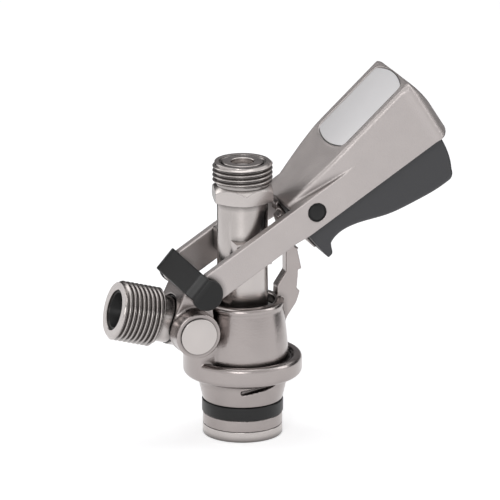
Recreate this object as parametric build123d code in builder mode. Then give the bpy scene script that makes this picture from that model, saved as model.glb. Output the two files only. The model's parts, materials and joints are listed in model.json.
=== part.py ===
from build123d import *
from math import cos, radians, sin, sqrt
import os

# Keg coupler: a cast body with a bayonet neck, a probe tube that slides through it, and a
# forked lever with a squeeze trigger that drives the probe down onto the keg valve.
# Millimetres. Origin on the probe axis at the bottom face of the neck, +Z up the probe,
# +X towards the handle, -X towards the gas inlet. The lever's hinge runs along Y.

os.makedirs("parts", exist_ok=True)

# ---------------------------------------------------------------- fits
running_fit = 0.05          # radial clearance of a shaft that turns or slides in its hole
static_fit = 0.05           # radial clearance of a screwed or pressed piece in its seat

# ---------------------------------------------------------------- neck, flange and bell
neck_radius = 15.2
neck_bore_radius = 11.5
ring_height = 4.0           # retaining ring below the neck's metal band
ring_spigot_radius = 13.2
seal_bottom_z = 8.6
seal_height = 5.1
seal_groove_radius = 13.4
seal_stand_out = 0.3        # how far the seal stands proud of the neck
lug_ring_foot = 0.6         # lower edge of the flared bayonet ring above the seal
lug_ring_step = 0.15
lug_ring_top_radius = 16.8
lug_ring_top_z = 20.6
lug_groove_height = 0.4     # fine groove between the bayonet ring and the flange
lug_groove_depth = 0.6
ramp_height = 1.7
ramp_length = 14.0
ramp_depth = 2.2
ramp_shift = 1.0            # of the ramp's middle from the front of the neck, round to the handle
ramp_rise = 0.7             # of the ramp's middle above the bayonet ring
ramp_angle = 10.5
flange_radius = 22.7
flange_bottom_z = 23.2
flange_lip_radius = 1.9     # half round along the top of the flange's rim
flange_top_z = 31.6
bell_foot_radius = 17.6
bell_middle_radius = 16.8
bell_middle_z = 40.0
collar_radius = 15.4
collar_foot_z = 50.3
collar_lip_radius = 1.3     # rolled lip round the mouth of the bell
collar_top_z = 53.0
bush_bore_radius = 12.4
bush_shelf_z = 34.0
upper_seal_height = 4.0
bush_top_z = 49.5

# ---------------------------------------------------------------- probe and outlet
tube_radius = 9.7
beer_bore_radius = 4.45
tube_top_z = 92.3
ball_chamber_radius = 5.25
ball_chamber_top_z = 20.6
probe_spigot_radius = 6.6
probe_spigot_height = 6.0
tip_bottom_z = 1.2
tip_flange_height = 2.0
tip_flange_radius = 8.6
tip_spigot_height = 4.8
tip_bore_radius = 2.6
probe_seal_radius = 10.9
ball_radius = 4.0
ball_travel = 3.0
cage_height = 2.4
block_half_length = 7.0     # drive block on each side of the tube, with a slot for the pin
block_outer_y = 14.2
block_half_height = 4.4
slot_half_length = 4.75
slot_half_height = 2.9
hex_flats = 22.0
hex_height = 6.2
hex_turn = -12.2
relief_radius = 10.2
relief_height = 1.0
thread_radius = 11.455      # 5/8 inch parallel pipe thread over its crests
thread_chamfer = 0.8
outlet_thread_length = 7.9
outlet_spigot_radius = 7.4
outlet_spigot_length = 9.0
outlet_seat_radius = 7.8
outlet_groove_radius = 8.95
outlet_groove_depth = 0.7
outlet_seat_depth = 2.4

# ---------------------------------------------------------------- gas side
gas_mouth_x = -51.4
gas_mouth_z = 53.7
gas_tilt = 15.8             # the gas way rises outwards by this angle
gas_thread_length = 16.9
gas_pipe_radius = 8.9
gas_boss_distance = 23.0    # from the mouth to the face of the boss
gas_boss_radius = 9.3
spot_face_gap = 0.4
gas_washer_height = 0.5
gas_spigot_radius = 6.3
gas_spigot_length = 5.2
gas_mouth_radius = 7.65
gas_mouth_depth = 12.0
gas_way_radius = 4.2
valve_height = 3.2
valve_lip_length = 5.0
chamber_x = -23.3
chamber_z = 45.3
chamber_radius = 9.0
chamber_front_y = 17.2
plug_boss_radius = 8.7
chamber_bore_radius = 6.0
chamber_bore_back_y = 6.5
duct_radius = 2.0
plug_radius = 7.05
plug_face_y = 18.0
plug_length = 5.0
plug_washer_height = 0.4

# ---------------------------------------------------------------- hinge post
hinge_x = -20.7
hinge_z = 62.1
hinge_pin_radius = 2.5
eye_radius = 4.2
post_half_width = 10.0
block_foot_z = 27.0

# ---------------------------------------------------------------- locking rack
rack_half_width = 2.5
notch_radius = 42.2         # about the hinge
tooth_height = 1.5
nose_step = 0.6             # how far the nose reaches past the teeth
nose_inner_x = 12.5
rack_inner_x = 16.7
nose_hole_radius = 1.3

# ---------------------------------------------------------------- lever
lever_angle = 32.3          # of the arms above the horizontal, at rest
lever_swing = 24.1
arm_inner_y = 14.5
lever_half_width = 18.2
arm_half_height = 5.8
skirt_bottom = -6.5
rack_gap = 1.3              # between the teeth and the front of the hood
hood_length = 67.2
hood_start_half_width = 12.0
hood_flare_length = 34.0    # over which the hood widens to the full width
hood_corner = 5.5           # rounding of the hood's far corners, seen from above
hood_end_bow = 0.6
shelf_top = 5.8
shelf_thickness = 2.3
shelf_length = 19.0         # its underside is level this far, then rises to let the trigger close
wall = 2.4
end_wall = 2.0
crown_front_height = 6.6    # crown line of the hood, above the arms' centre line
crown_middle_height = 13.8
crown_middle_reach = 29.7
crown_back_height = 20.0
crown_back_reach = 63.8
ridge_radius = 1.5
drive_pin_reach = 22.56     # from the hinge to the drive pins
drive_pin_radius = 2.5
drive_pin_inner_y = 10.2
drive_pin_outer_y = 16.6
cover_outer_y = 20.6
cover_radius = 6.2
cover_direction = 138.6
cover_band_inner = 4.5
cover_band_outer = 6.0
cover_half_height = 5.0
cover_edge_radius = 0.8
label_width = 27.5
label_length = 31.0
label_bow = 2.6             # how far the label's ends bow out
label_thickness = 0.8
label_recess = 0.9
label_reach = 45.4          # of its middle behind the front of the hood
label_gap = 0.15
label_corner = 2.0

# ---------------------------------------------------------------- trigger
pivot_reach = 7.3           # behind the front of the hood
pivot_drop = 0.3
trigger_pin_radius = 2.5
trigger_pin_half_length = 16.7
cap_radius = 3.5
cap_thickness = 1.5
trigger_half_width = 14.0
trigger_edge_radius = 2.0
trigger_length = 63.3
trigger_top = 1.2
trigger_boss_radius = 3.4
trigger_shoulder = 6.0      # from the pivot back to the level top
trigger_lead = (1.5, -2.5)  # points of the grip's outline: behind the hood's front, above the arms' middle
front_top = (0.0, -6.7)
front_middle = (0.9, -13.4)
hook_tip = (1.9, -20.4)
hook_heel = (4.3, -19.9)
hook_root = (5.4, -16.9)
palm_line = ((7.7, -15.7), (16.6, -15.9), (30.1, -21.0), (40.7, -23.3), (51.8, -24.8), (57.6, -24.8))
heel_round = ((59.1, -23.9), (60.2, -21.6))
heel_line = ((62.1, -16.9), (63.3, -9.0), (63.3, -3.0))
heel_chamfer = 3.5
spring_slot_reach = 7.5
spring_slot_half_height = 4.7
spring_slot_half_width = 5.5
spring_wire_radius = 0.45
spring_coil_radius = 3.1
spring_turns = 5.5
spring_pitch = 1.4
spring_leg = 7.0
pawl_half_width = 6.0
pawl_thickness = 0.9
pawl_clearance = 0.35       # of the pawl's tip from the teeth, at rest
pawl_lip = (1.3, -1.7)      # lower corner of the pawl's tooth, from its tip
pawl_rise = 0.9             # upper corner of the pawl's tooth, from its tip
pawl_tip_angle = -12.8


def lever_plane(y=0.0):
    """Side view of the lever: x runs along the arms, y square to them, out of -Y."""
    turn = radians(lever_angle)
    return Plane(origin=(hinge_x, y, hinge_z), x_dir=(cos(turn), 0, sin(turn)), z_dir=(0, -1, 0))


def polar(radius, angle):
    """A point in the XZ plane, from the hinge, at an angle above +X."""
    return (hinge_x + radius * cos(radians(angle)), hinge_z + radius * sin(radians(angle)))


def gas_plane(distance):
    """Plane across the gas way, this far in from its mouth, facing out of the mouth."""
    tilt = radians(gas_tilt)
    outwards = (-cos(tilt), 0, sin(tilt))
    x = gas_mouth_x + distance * cos(tilt)
    z = gas_mouth_z - distance * sin(tilt)
    return Plane(origin=(x, 0, z), x_dir=(0, 1, 0), z_dir=outwards)


def save(builder, name):
    """Label the piece and write it as its own STEP file."""
    builder.part.label = name
    export_step(builder.part, "parts/" + name + ".step")


# ---------------------------------------------------------------- derived places
seal_top_z = seal_bottom_z + seal_height
lug_ring_z = seal_top_z + lug_ring_foot
lug_groove_top_z = lug_ring_top_z + lug_groove_height
ramp_z = lug_ring_top_z + ramp_rise
tooth_radius = notch_radius + tooth_height
nose_radius = tooth_radius + nose_step
duct_start = Vector(chamber_x + 1.5, 0, chamber_z - 3.5)
duct_run = Vector(-(neck_bore_radius - 2.5), 0, block_foot_z - 3.0) - duct_start
probe_seal_bottom_z = tip_bottom_z + tip_flange_height
tip_top_z = probe_seal_bottom_z + tip_spigot_height
ball_z = tip_top_z + sqrt(ball_radius**2 - tip_bore_radius**2) + running_fit
slot_z = hinge_z + drive_pin_reach * sin(radians(lever_angle))
thread_bottom_z = tube_top_z + hex_height + relief_height
outlet_top_z = thread_bottom_z + outlet_thread_length
hood_start = tooth_radius + rack_gap
hood_end = hood_start + hood_length
crown_front = (hood_start, crown_front_height)
crown_middle = (hood_start + crown_middle_reach, crown_middle_height)
crown_back = (hood_start + crown_back_reach, crown_back_height)
crown_rise = (crown_back_height - crown_middle_height) / (crown_back_reach - crown_middle_reach)
label_middle = hood_start + label_reach
trigger_pivot = (hood_start + pivot_reach, -pivot_drop)
trigger_back = hood_start + trigger_length
pawl_tip_radius = tooth_radius + pawl_clearance


def grip_point(place):
    """A point of the grip's outline, from the front of the hood, in the lever's side view."""
    return (hood_start + place[0], place[1])


trigger_front_top = grip_point(front_top)
trigger_front_middle = grip_point(front_middle)
trigger_hook = grip_point(hook_tip)
pawl_foot = (
    (trigger_front_middle[0] + trigger_hook[0]) / 2,
    (trigger_front_middle[1] + trigger_hook[1]) / 2,
)
pawl_tip = (pawl_tip_radius * cos(radians(pawl_tip_angle)), pawl_tip_radius * sin(radians(pawl_tip_angle)))


def lever_point(along, above, y=0.0):
    """World place of a point in the lever's side view."""
    turn = radians(lever_angle)
    x = hinge_x + along * cos(turn) - above * sin(turn)
    z = hinge_z + along * sin(turn) + above * cos(turn)
    return Vector(x, y, z)


def lever_direction(along, above):
    """World direction of a step in the lever's side view."""
    return lever_point(along, above) - lever_point(0, 0)


def label_outline(margin):
    """The label seen square on: straight sides and bowed ends, grown by a margin."""
    half_width = label_width / 2 + margin
    half_length = label_length / 2 + margin
    with BuildSketch(mode=Mode.PRIVATE) as outline:
        with BuildLine():
            Line((-half_length, half_width), (half_length, half_width))
            ThreePointArc((half_length, half_width), (half_length + label_bow, 0), (half_length, -half_width))
            Line((half_length, -half_width), (-half_length, -half_width))
            ThreePointArc((-half_length, -half_width), (-half_length - label_bow, 0), (-half_length, half_width))
        make_face()
        fillet(outline.vertices(), label_corner + margin)
    return outline.sketch


plan_plane = Plane(origin=lever_point(0, 0), x_dir=lever_direction(1, 0), z_dir=lever_direction(0, 1))
crown_plane = Plane(
    origin=lever_point(label_middle, crown_middle[1] + crown_rise * (label_middle - crown_middle[0])),
    x_dir=lever_direction(1, crown_rise),
    z_dir=lever_direction(-crown_rise, 1),
)
cover_turn = radians(cover_direction)
cover_plane = Plane(
    origin=lever_point(0, 0),
    x_dir=(cos(cover_turn), 0, sin(cover_turn)),
    z_dir=(0, -1, 0),
)

# ================================================================ body
lip_centre_radius = flange_radius - flange_lip_radius
lip_centre_z = flange_top_z - flange_lip_radius
lip_inner_radius = flange_radius - 2 * flange_lip_radius
collar_lip_z = collar_top_z - collar_lip_radius
collar_lip_centre = collar_radius + 0.4 - collar_lip_radius
gas_axis_length = (chamber_x - gas_mouth_x) / cos(radians(gas_tilt))

# Outer form of neck, flange and bell: one turned profile.
with BuildPart() as body_casting:
    with BuildSketch(Plane.XZ):
        with BuildLine():
            Polyline(
                (0, 0),
                (ring_spigot_radius, 0),
                (ring_spigot_radius, ring_height),
                (neck_radius, ring_height),
                (neck_radius, seal_bottom_z),
                (seal_groove_radius, seal_bottom_z),
                (seal_groove_radius, seal_top_z),
                (neck_radius, seal_top_z),
                (neck_radius, lug_ring_z),
                (neck_radius + lug_ring_step, lug_ring_z),
                (lug_ring_top_radius, lug_ring_top_z),
                (lug_ring_top_radius - lug_groove_depth, lug_ring_top_z),
                (lug_ring_top_radius - lug_groove_depth, lug_groove_top_z),
                (lug_ring_top_radius, lug_groove_top_z),
            )
            ThreePointArc(
                (lug_ring_top_radius, lug_groove_top_z),
                (lug_ring_top_radius + 0.6, flange_bottom_z - 0.9),
                (lug_ring_top_radius + 2.2, flange_bottom_z),
            )
            Line((lug_ring_top_radius + 2.2, flange_bottom_z), (flange_radius - 2.0, flange_bottom_z + 0.6))
            ThreePointArc(
                (flange_radius - 2.0, flange_bottom_z + 0.6),
                (flange_radius - 0.5, flange_bottom_z + 1.3),
                (flange_radius, flange_bottom_z + 2.8),
            )
            Line((flange_radius, flange_bottom_z + 2.8), (flange_radius, lip_centre_z))
            ThreePointArc(
                (flange_radius, lip_centre_z),
                (lip_centre_radius, flange_top_z),
                (lip_inner_radius, lip_centre_z),
            )
            Line((lip_inner_radius, lip_centre_z), (bell_foot_radius, lip_centre_z))
            Spline(
                (bell_foot_radius, lip_centre_z),
                (bell_middle_radius, bell_middle_z),
                (collar_radius, collar_foot_z),
            )
            ThreePointArc(
                (collar_radius, collar_foot_z),
                (collar_lip_centre + collar_lip_radius, collar_lip_z),
                (collar_lip_centre, collar_top_z),
            )
            Polyline((collar_lip_centre, collar_top_z), (0, collar_top_z), (0, 0))
        make_face()
    revolve(axis=Axis.Z)

    # Block between the bell and the flange's rim, flush with the rim.
    with BuildSketch(Plane.XY.offset(block_foot_z)):
        Circle(flange_radius)
        with Locations((-flange_radius, 0)):
            Rectangle(2 * (flange_radius - collar_radius) + 2, 2 * post_half_width, mode=Mode.INTERSECT)
    extrude(amount=chamber_z - block_foot_z)

    # Post: a tapering web from the gas chamber up to the hinge eye.
    with BuildSketch(Plane.XZ):
        with Locations((hinge_x, hinge_z)):
            Circle(eye_radius)
        with Locations((chamber_x, chamber_z)):
            Circle(chamber_radius)
        make_hull()
    extrude(amount=post_half_width, both=True)

    # Cross chamber with the boss for the port plug, and the boss for the gas stem.
    with BuildSketch(Plane.XZ.offset(post_half_width - 1)):
        with Locations((chamber_x, chamber_z)):
            Circle(plug_boss_radius)
    extrude(amount=chamber_front_y - post_half_width + 1)
    with BuildSketch(gas_plane(gas_axis_length)):
        Circle(gas_boss_radius)
    extrude(amount=gas_axis_length - gas_boss_distance)

    # Spot face round the pipe, down to the face of the boss.
    with BuildSketch(gas_plane(gas_boss_distance)):
        Circle(gas_boss_radius + spot_face_gap)
    extrude(amount=gas_boss_distance - gas_thread_length, mode=Mode.SUBTRACT)

    # Locking rack: an arched plate with two notches about the hinge and a pierced nose.
    with BuildSketch(Plane.XZ):
        with BuildLine():
            Polyline(
                (collar_radius - 2.0, bell_middle_z + 1.0),
                (bell_middle_radius - 0.8, bell_middle_z + 1.0),
                (bell_middle_radius + 0.4, bell_middle_z + 4.6),
                (rack_inner_x + 4.2, collar_foot_z - 0.3),
                polar(tooth_radius, -10.3),
                polar(notch_radius, -8.8),
            )
            ThreePointArc(polar(notch_radius, -8.8), polar(notch_radius, -4.0), polar(notch_radius, 1.1))
            Polyline(
                polar(notch_radius, 1.1),
                polar(tooth_radius, 1.1),
                polar(notch_radius + 0.7, 11.7),
                polar(tooth_radius, 12.6),
                polar(notch_radius, 13.4),
            )
            ThreePointArc(polar(notch_radius, 13.4), polar(notch_radius, 20.0), polar(notch_radius, 27.5))
            Line(polar(notch_radius, 27.5), polar(nose_radius, 31.5))
            ThreePointArc(polar(nose_radius, 31.5), polar(nose_radius, 35.0), polar(nose_radius, 38.5))
            Polyline(
                polar(nose_radius, 38.5),
                (nose_inner_x + 0.8, polar(nose_radius, 40.6)[1]),
                (nose_inner_x, polar(nose_radius, 39.0)[1]),
                (nose_inner_x, polar(nose_radius, 33.5)[1]),
                (rack_inner_x - 2.8, polar(nose_radius, 25.5)[1]),
                (rack_inner_x, hinge_z + 8.0),
                (rack_inner_x, hinge_z + 0.4),
                (collar_radius - 2.4, collar_top_z + 4.0),
                (collar_radius - 2.4, collar_top_z - 2.0),
                (collar_radius - 2.0, bell_middle_z + 1.0),
            )
        make_face()
    extrude(amount=rack_half_width, both=True)
    with BuildSketch(Plane.XZ):
        with Locations(polar(nose_radius - 2.6, 35.4)):
            Circle(nose_hole_radius)
    extrude(amount=2 * rack_half_width, both=True, mode=Mode.SUBTRACT)

    # Two rising bayonet ramps under the flange, opposite each other.
    for side in (-1, 1):
        ramp_place = Plane(
            origin=(side * -ramp_shift, side * lug_ring_top_radius, ramp_z),
            x_dir=(side * -cos(radians(ramp_angle)), 0, sin(radians(ramp_angle))),
            z_dir=(side * sin(radians(ramp_angle)), 0, cos(radians(ramp_angle))),
        )
        with BuildSketch(ramp_place):
            Rectangle(ramp_length, 2 * ramp_depth)
        extrude(amount=ramp_height / 2, both=True, mode=Mode.SUBTRACT)

    # Bore for the probe, with a wider seat for the bush and the upper seal.
    with BuildSketch(Plane.XY):
        Circle(neck_bore_radius)
    extrude(amount=collar_top_z, mode=Mode.SUBTRACT)
    with BuildSketch(Plane.XY.offset(bush_shelf_z)):
        Circle(bush_bore_radius)
    extrude(amount=collar_top_z - bush_shelf_z, mode=Mode.SUBTRACT)

    # Hinge eye, chamber bore with the plug's seat, gas stem seat and the duct down to the neck.
    with BuildSketch(Plane.XZ):
        with Locations((hinge_x, hinge_z)):
            Circle(hinge_pin_radius + running_fit)
    extrude(amount=2 * post_half_width, both=True, mode=Mode.SUBTRACT)
    with BuildSketch(Plane.XZ.offset(-chamber_bore_back_y)):
        with Locations((chamber_x, chamber_z)):
            Circle(chamber_bore_radius)
    extrude(amount=chamber_bore_back_y + chamber_front_y, mode=Mode.SUBTRACT)
    with BuildSketch(gas_plane(gas_axis_length)):
        Circle(gas_spigot_radius + static_fit)
    extrude(amount=gas_axis_length - gas_boss_distance, mode=Mode.SUBTRACT)
    with BuildSketch(Plane(origin=duct_start, z_dir=duct_run)):
        Circle(duct_radius)
    extrude(amount=duct_run.length, mode=Mode.SUBTRACT)
save(body_casting, "body_casting")

with BuildPart() as collar_bush:
    with BuildSketch(Plane.XY.offset(bush_shelf_z + upper_seal_height)):
        Circle(bush_bore_radius - static_fit)
        Circle(tube_radius + running_fit, mode=Mode.SUBTRACT)
    extrude(amount=bush_top_z - bush_shelf_z - upper_seal_height)
    chamfer(collar_bush.edges().group_by(Axis.Z)[-1], 0.5)
save(collar_bush, "collar_bush")

with BuildPart() as upper_seal:
    with BuildSketch(Plane.XY.offset(bush_shelf_z)):
        Circle(bush_bore_radius - static_fit)
        Circle(tube_radius + running_fit, mode=Mode.SUBTRACT)
    extrude(amount=upper_seal_height)
save(upper_seal, "upper_seal")

with BuildPart() as neck_seal:
    with BuildSketch(Plane.XY.offset(seal_bottom_z)):
        Circle(neck_radius + seal_stand_out)
        Circle(seal_groove_radius + static_fit, mode=Mode.SUBTRACT)
    extrude(amount=seal_height)
    outer_wall = neck_seal.faces().filter_by(GeomType.CYLINDER).sort_by(SortBy.AREA)[-1]
    fillet(outer_wall.edges().filter_by(GeomType.CIRCLE), seal_stand_out * 1.5)
save(neck_seal, "neck_seal")

with BuildPart() as retaining_ring:
    with BuildSketch(Plane.XY):
        Circle(neck_radius)
        Circle(ring_spigot_radius + static_fit, mode=Mode.SUBTRACT)
    extrude(amount=ring_height)
save(retaining_ring, "retaining_ring")

# Gas stem: threaded mouth, plain pipe and the spigot screwed into the boss.
with BuildPart() as gas_stem:
    with BuildSketch(gas_plane(gas_thread_length)):
        Circle(thread_radius)
    extrude(amount=gas_thread_length)
    chamfer(gas_stem.edges().filter_by(GeomType.CIRCLE), thread_chamfer)
    with BuildSketch(gas_plane(gas_boss_distance - gas_washer_height)):
        Circle(gas_pipe_radius)
    extrude(amount=gas_boss_distance - gas_washer_height - gas_thread_length)
    with BuildSketch(gas_plane(gas_boss_distance + gas_spigot_length)):
        Circle(gas_spigot_radius)
    extrude(amount=gas_spigot_length + gas_washer_height)
    with BuildSketch(gas_plane(gas_boss_distance + gas_spigot_length)):
        Circle(gas_way_radius)
    extrude(amount=gas_boss_distance + gas_spigot_length, mode=Mode.SUBTRACT)
    with BuildSketch(gas_plane(gas_mouth_depth)):
        Circle(gas_mouth_radius)
    extrude(amount=gas_mouth_depth, mode=Mode.SUBTRACT)
save(gas_stem, "gas_stem")

with BuildPart() as gas_stem_washer:
    with BuildSketch(gas_plane(gas_boss_distance)):
        Circle(gas_boss_radius - 0.2)
        Circle(gas_spigot_radius + static_fit, mode=Mode.SUBTRACT)
    extrude(amount=gas_washer_height)
save(gas_stem_washer, "gas_stem_washer")

# Rubber non-return valve: a flange at the foot of the mouth and two lips that taper shut.
with BuildPart() as gas_check_valve:
    with BuildSketch(gas_plane(gas_mouth_depth)):
        Circle(gas_mouth_radius - static_fit)
        Circle(gas_way_radius - 0.6, mode=Mode.SUBTRACT)
    extrude(amount=valve_height)
    with BuildSketch(gas_plane(gas_mouth_depth)) as valve_root:
        Circle(gas_way_radius - static_fit)
    with BuildSketch(gas_plane(gas_mouth_depth + valve_lip_length)) as valve_lips:
        Rectangle(1.2, 1.6 * gas_way_radius)
    loft(sections=[valve_root.sketch, valve_lips.sketch])
save(gas_check_valve, "gas_check_valve")

with BuildPart() as port_plug:
    with BuildSketch(Plane.XZ.offset(chamber_front_y + plug_washer_height)):
        with Locations((chamber_x, chamber_z)):
            Circle(plug_radius)
    extrude(amount=plug_face_y - chamber_front_y - plug_washer_height)
    chamfer(port_plug.edges().group_by(Axis.Y)[0], 0.2)
    with BuildSketch(Plane.XZ.offset(chamber_front_y + plug_washer_height - plug_length)):
        with Locations((chamber_x, chamber_z)):
            Circle(chamber_bore_radius - static_fit)
    extrude(amount=plug_length)
save(port_plug, "port_plug")

with BuildPart() as port_plug_washer:
    with BuildSketch(Plane.XZ.offset(chamber_front_y)):
        with Locations((chamber_x, chamber_z)):
            Circle(plug_radius - 0.1)
            Circle(chamber_bore_radius, mode=Mode.SUBTRACT)
    extrude(amount=plug_washer_height)
save(port_plug_washer, "port_plug_washer")

with BuildPart() as hinge_pin:
    with BuildSketch(Plane.XZ):
        with Locations((hinge_x, hinge_z)):
            Circle(hinge_pin_radius)
    extrude(amount=lever_half_width - running_fit, both=True)
    chamfer(hinge_pin.edges(), 0.4)
save(hinge_pin, "hinge_pin")

with BuildPart() as hinge_spacers:
    for start in (post_half_width, -arm_inner_y + running_fit):
        with BuildSketch(Plane.XZ.offset(start)):
            with Locations((hinge_x, hinge_z)):
                Circle(eye_radius - 0.1)
                Circle(hinge_pin_radius + running_fit, mode=Mode.SUBTRACT)
        extrude(amount=arm_inner_y - running_fit - post_half_width)
save(hinge_spacers, "hinge_spacers")

# ================================================================ probe
spigot_top_z = probe_seal_bottom_z + probe_spigot_height

with BuildPart() as probe_tube:
    with BuildSketch(Plane.XY.offset(probe_seal_bottom_z)):
        Circle(probe_spigot_radius)
    extrude(amount=probe_spigot_height)
    with BuildSketch(Plane.XY.offset(spigot_top_z)):
        Circle(tube_radius)
    extrude(amount=tube_top_z - spigot_top_z)

    # A slotted drive block on each side takes a pin of the lever.
    with BuildSketch(Plane.XY.offset(slot_z - block_half_height)):
        Rectangle(2 * block_half_length, 2 * block_outer_y)
        Rectangle(2 * block_half_length, 2 * (tube_radius - 4.0), mode=Mode.SUBTRACT)
    extrude(amount=2 * block_half_height)
    block_tops = probe_tube.edges().filter_by(Axis.X).group_by(SortBy.LENGTH)[-1]
    chamfer(block_tops.filter_by(lambda edge: abs(edge.center().Y) > block_outer_y - 0.1), 0.6)
    for start in (tube_radius, -block_outer_y):
        with BuildSketch(Plane.XZ.offset(start)):
            with Locations((0, slot_z)):
                Rectangle(2 * slot_half_length, 2 * slot_half_height)
        extrude(amount=block_outer_y - tube_radius, mode=Mode.SUBTRACT)

    # Beer way, ball chamber and the seat of the outlet nipple.
    with BuildSketch(Plane.XY.offset(probe_seal_bottom_z)):
        Circle(beer_bore_radius)
    extrude(amount=tube_top_z - probe_seal_bottom_z, mode=Mode.SUBTRACT)
    with BuildSketch(Plane.XY.offset(probe_seal_bottom_z)):
        Circle(ball_chamber_radius)
    extrude(amount=ball_chamber_top_z - probe_seal_bottom_z, mode=Mode.SUBTRACT)
    with BuildSketch(Plane.XY.offset(tube_top_z - outlet_spigot_length)):
        Circle(outlet_spigot_radius + static_fit)
    extrude(amount=outlet_spigot_length, mode=Mode.SUBTRACT)
save(probe_tube, "probe_tube")

# Outlet nipple: hexagon, relief groove and threaded mouth with a ringed face.
with BuildPart() as outlet_nipple:
    with BuildSketch(Plane.XY.offset(tube_top_z)):
        RegularPolygon(hex_flats / 2, 6, major_radius=False, rotation=30 + hex_turn)
    extrude(amount=hex_height)
    with BuildSketch(Plane.XZ):
        with BuildLine():
            Polyline(
                (0, tube_top_z),
                (hex_flats / 2 - 0.4, tube_top_z),
                (hex_flats / 2 + 1.8, tube_top_z + 1.0),
                (hex_flats / 2 + 1.8, tube_top_z + hex_height - 1.4),
                (hex_flats / 2 - 0.6, tube_top_z + hex_height),
                (0, tube_top_z + hex_height),
                (0, tube_top_z),
            )
        make_face()
    revolve(axis=Axis.Z, mode=Mode.INTERSECT)
    with BuildSketch(Plane.XY.offset(tube_top_z + hex_height)):
        Circle(relief_radius)
    extrude(amount=relief_height)
    with BuildSketch(Plane.XY.offset(thread_bottom_z)):
        Circle(thread_radius)
    extrude(amount=outlet_thread_length)
    chamfer(outlet_nipple.edges().group_by(Axis.Z)[-1], thread_chamfer)
    with BuildSketch(Plane.XY.offset(tube_top_z - outlet_spigot_length)):
        Circle(outlet_spigot_radius)
    extrude(amount=outlet_spigot_length)
    with BuildSketch(Plane.XY.offset(tube_top_z - outlet_spigot_length)):
        Circle(beer_bore_radius)
    extrude(amount=outlet_top_z - tube_top_z + outlet_spigot_length, mode=Mode.SUBTRACT)
    with BuildSketch(Plane.XY.offset(outlet_top_z - outlet_seat_depth)):
        Circle(outlet_seat_radius)
    extrude(amount=outlet_seat_depth, mode=Mode.SUBTRACT)
    with BuildSketch(Plane.XY.offset(outlet_top_z - outlet_groove_depth)):
        Circle(outlet_groove_radius)
    extrude(amount=outlet_groove_depth, mode=Mode.SUBTRACT)
save(outlet_nipple, "outlet_nipple")

with BuildPart() as outlet_seat_ring:
    with BuildSketch(Plane.XY.offset(outlet_top_z - outlet_seat_depth)):
        Circle(outlet_seat_radius - static_fit)
        Circle(beer_bore_radius, mode=Mode.SUBTRACT)
    extrude(amount=outlet_seat_depth)
    chamfer(outlet_seat_ring.edges().group_by(Axis.Z)[-1], 0.25)
save(outlet_seat_ring, "outlet_seat_ring")

with BuildPart() as probe_seal:
    with BuildSketch(Plane.XZ):
        with BuildLine():
            Polyline(
                (probe_spigot_radius + static_fit, probe_seal_bottom_z),
                (probe_seal_radius - 1.6, probe_seal_bottom_z),
                (probe_seal_radius, probe_seal_bottom_z + 1.6),
                (probe_seal_radius, spigot_top_z - 2.0),
                (tube_radius, spigot_top_z),
                (probe_spigot_radius + static_fit, spigot_top_z),
                (probe_spigot_radius + static_fit, probe_seal_bottom_z),
            )
        make_face()
    revolve(axis=Axis.Z)
save(probe_seal, "probe_seal")

# Tip screw: holds the probe seal up and is the seat of the ball.
with BuildPart() as tip_screw:
    with BuildSketch(Plane.XY.offset(tip_bottom_z)):
        Circle(tip_flange_radius)
    extrude(amount=tip_flange_height)
    chamfer(tip_screw.edges().group_by(Axis.Z)[0], 0.8)
    with BuildSketch(Plane.XY.offset(probe_seal_bottom_z)):
        Circle(ball_chamber_radius - static_fit)
    extrude(amount=tip_spigot_height)
    with BuildSketch(Plane.XY.offset(tip_bottom_z)):
        Circle(tip_bore_radius)
    extrude(amount=tip_flange_height + tip_spigot_height, mode=Mode.SUBTRACT)
save(tip_screw, "tip_screw")

with BuildPart() as check_ball:
    with BuildSketch(Plane.XZ):
        with Locations((0, ball_z)):
            Circle(ball_radius)
            Rectangle(2 * ball_radius, 2 * ball_radius, align=(Align.MAX, Align.CENTER), mode=Mode.SUBTRACT)
    revolve(axis=Axis.Z)
save(check_ball, "check_ball")

# Cage: a disc with three ports that stops the ball short of the beer bore.
with BuildPart() as ball_cage:
    with BuildSketch(Plane.XY.offset(ball_chamber_top_z - cage_height)):
        Circle(ball_chamber_radius - static_fit)
        with PolarLocations(ball_chamber_radius * 0.56, 3):
            Circle(ball_chamber_radius * 0.27, mode=Mode.SUBTRACT)
    extrude(amount=cage_height)
save(ball_cage, "ball_cage")

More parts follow.
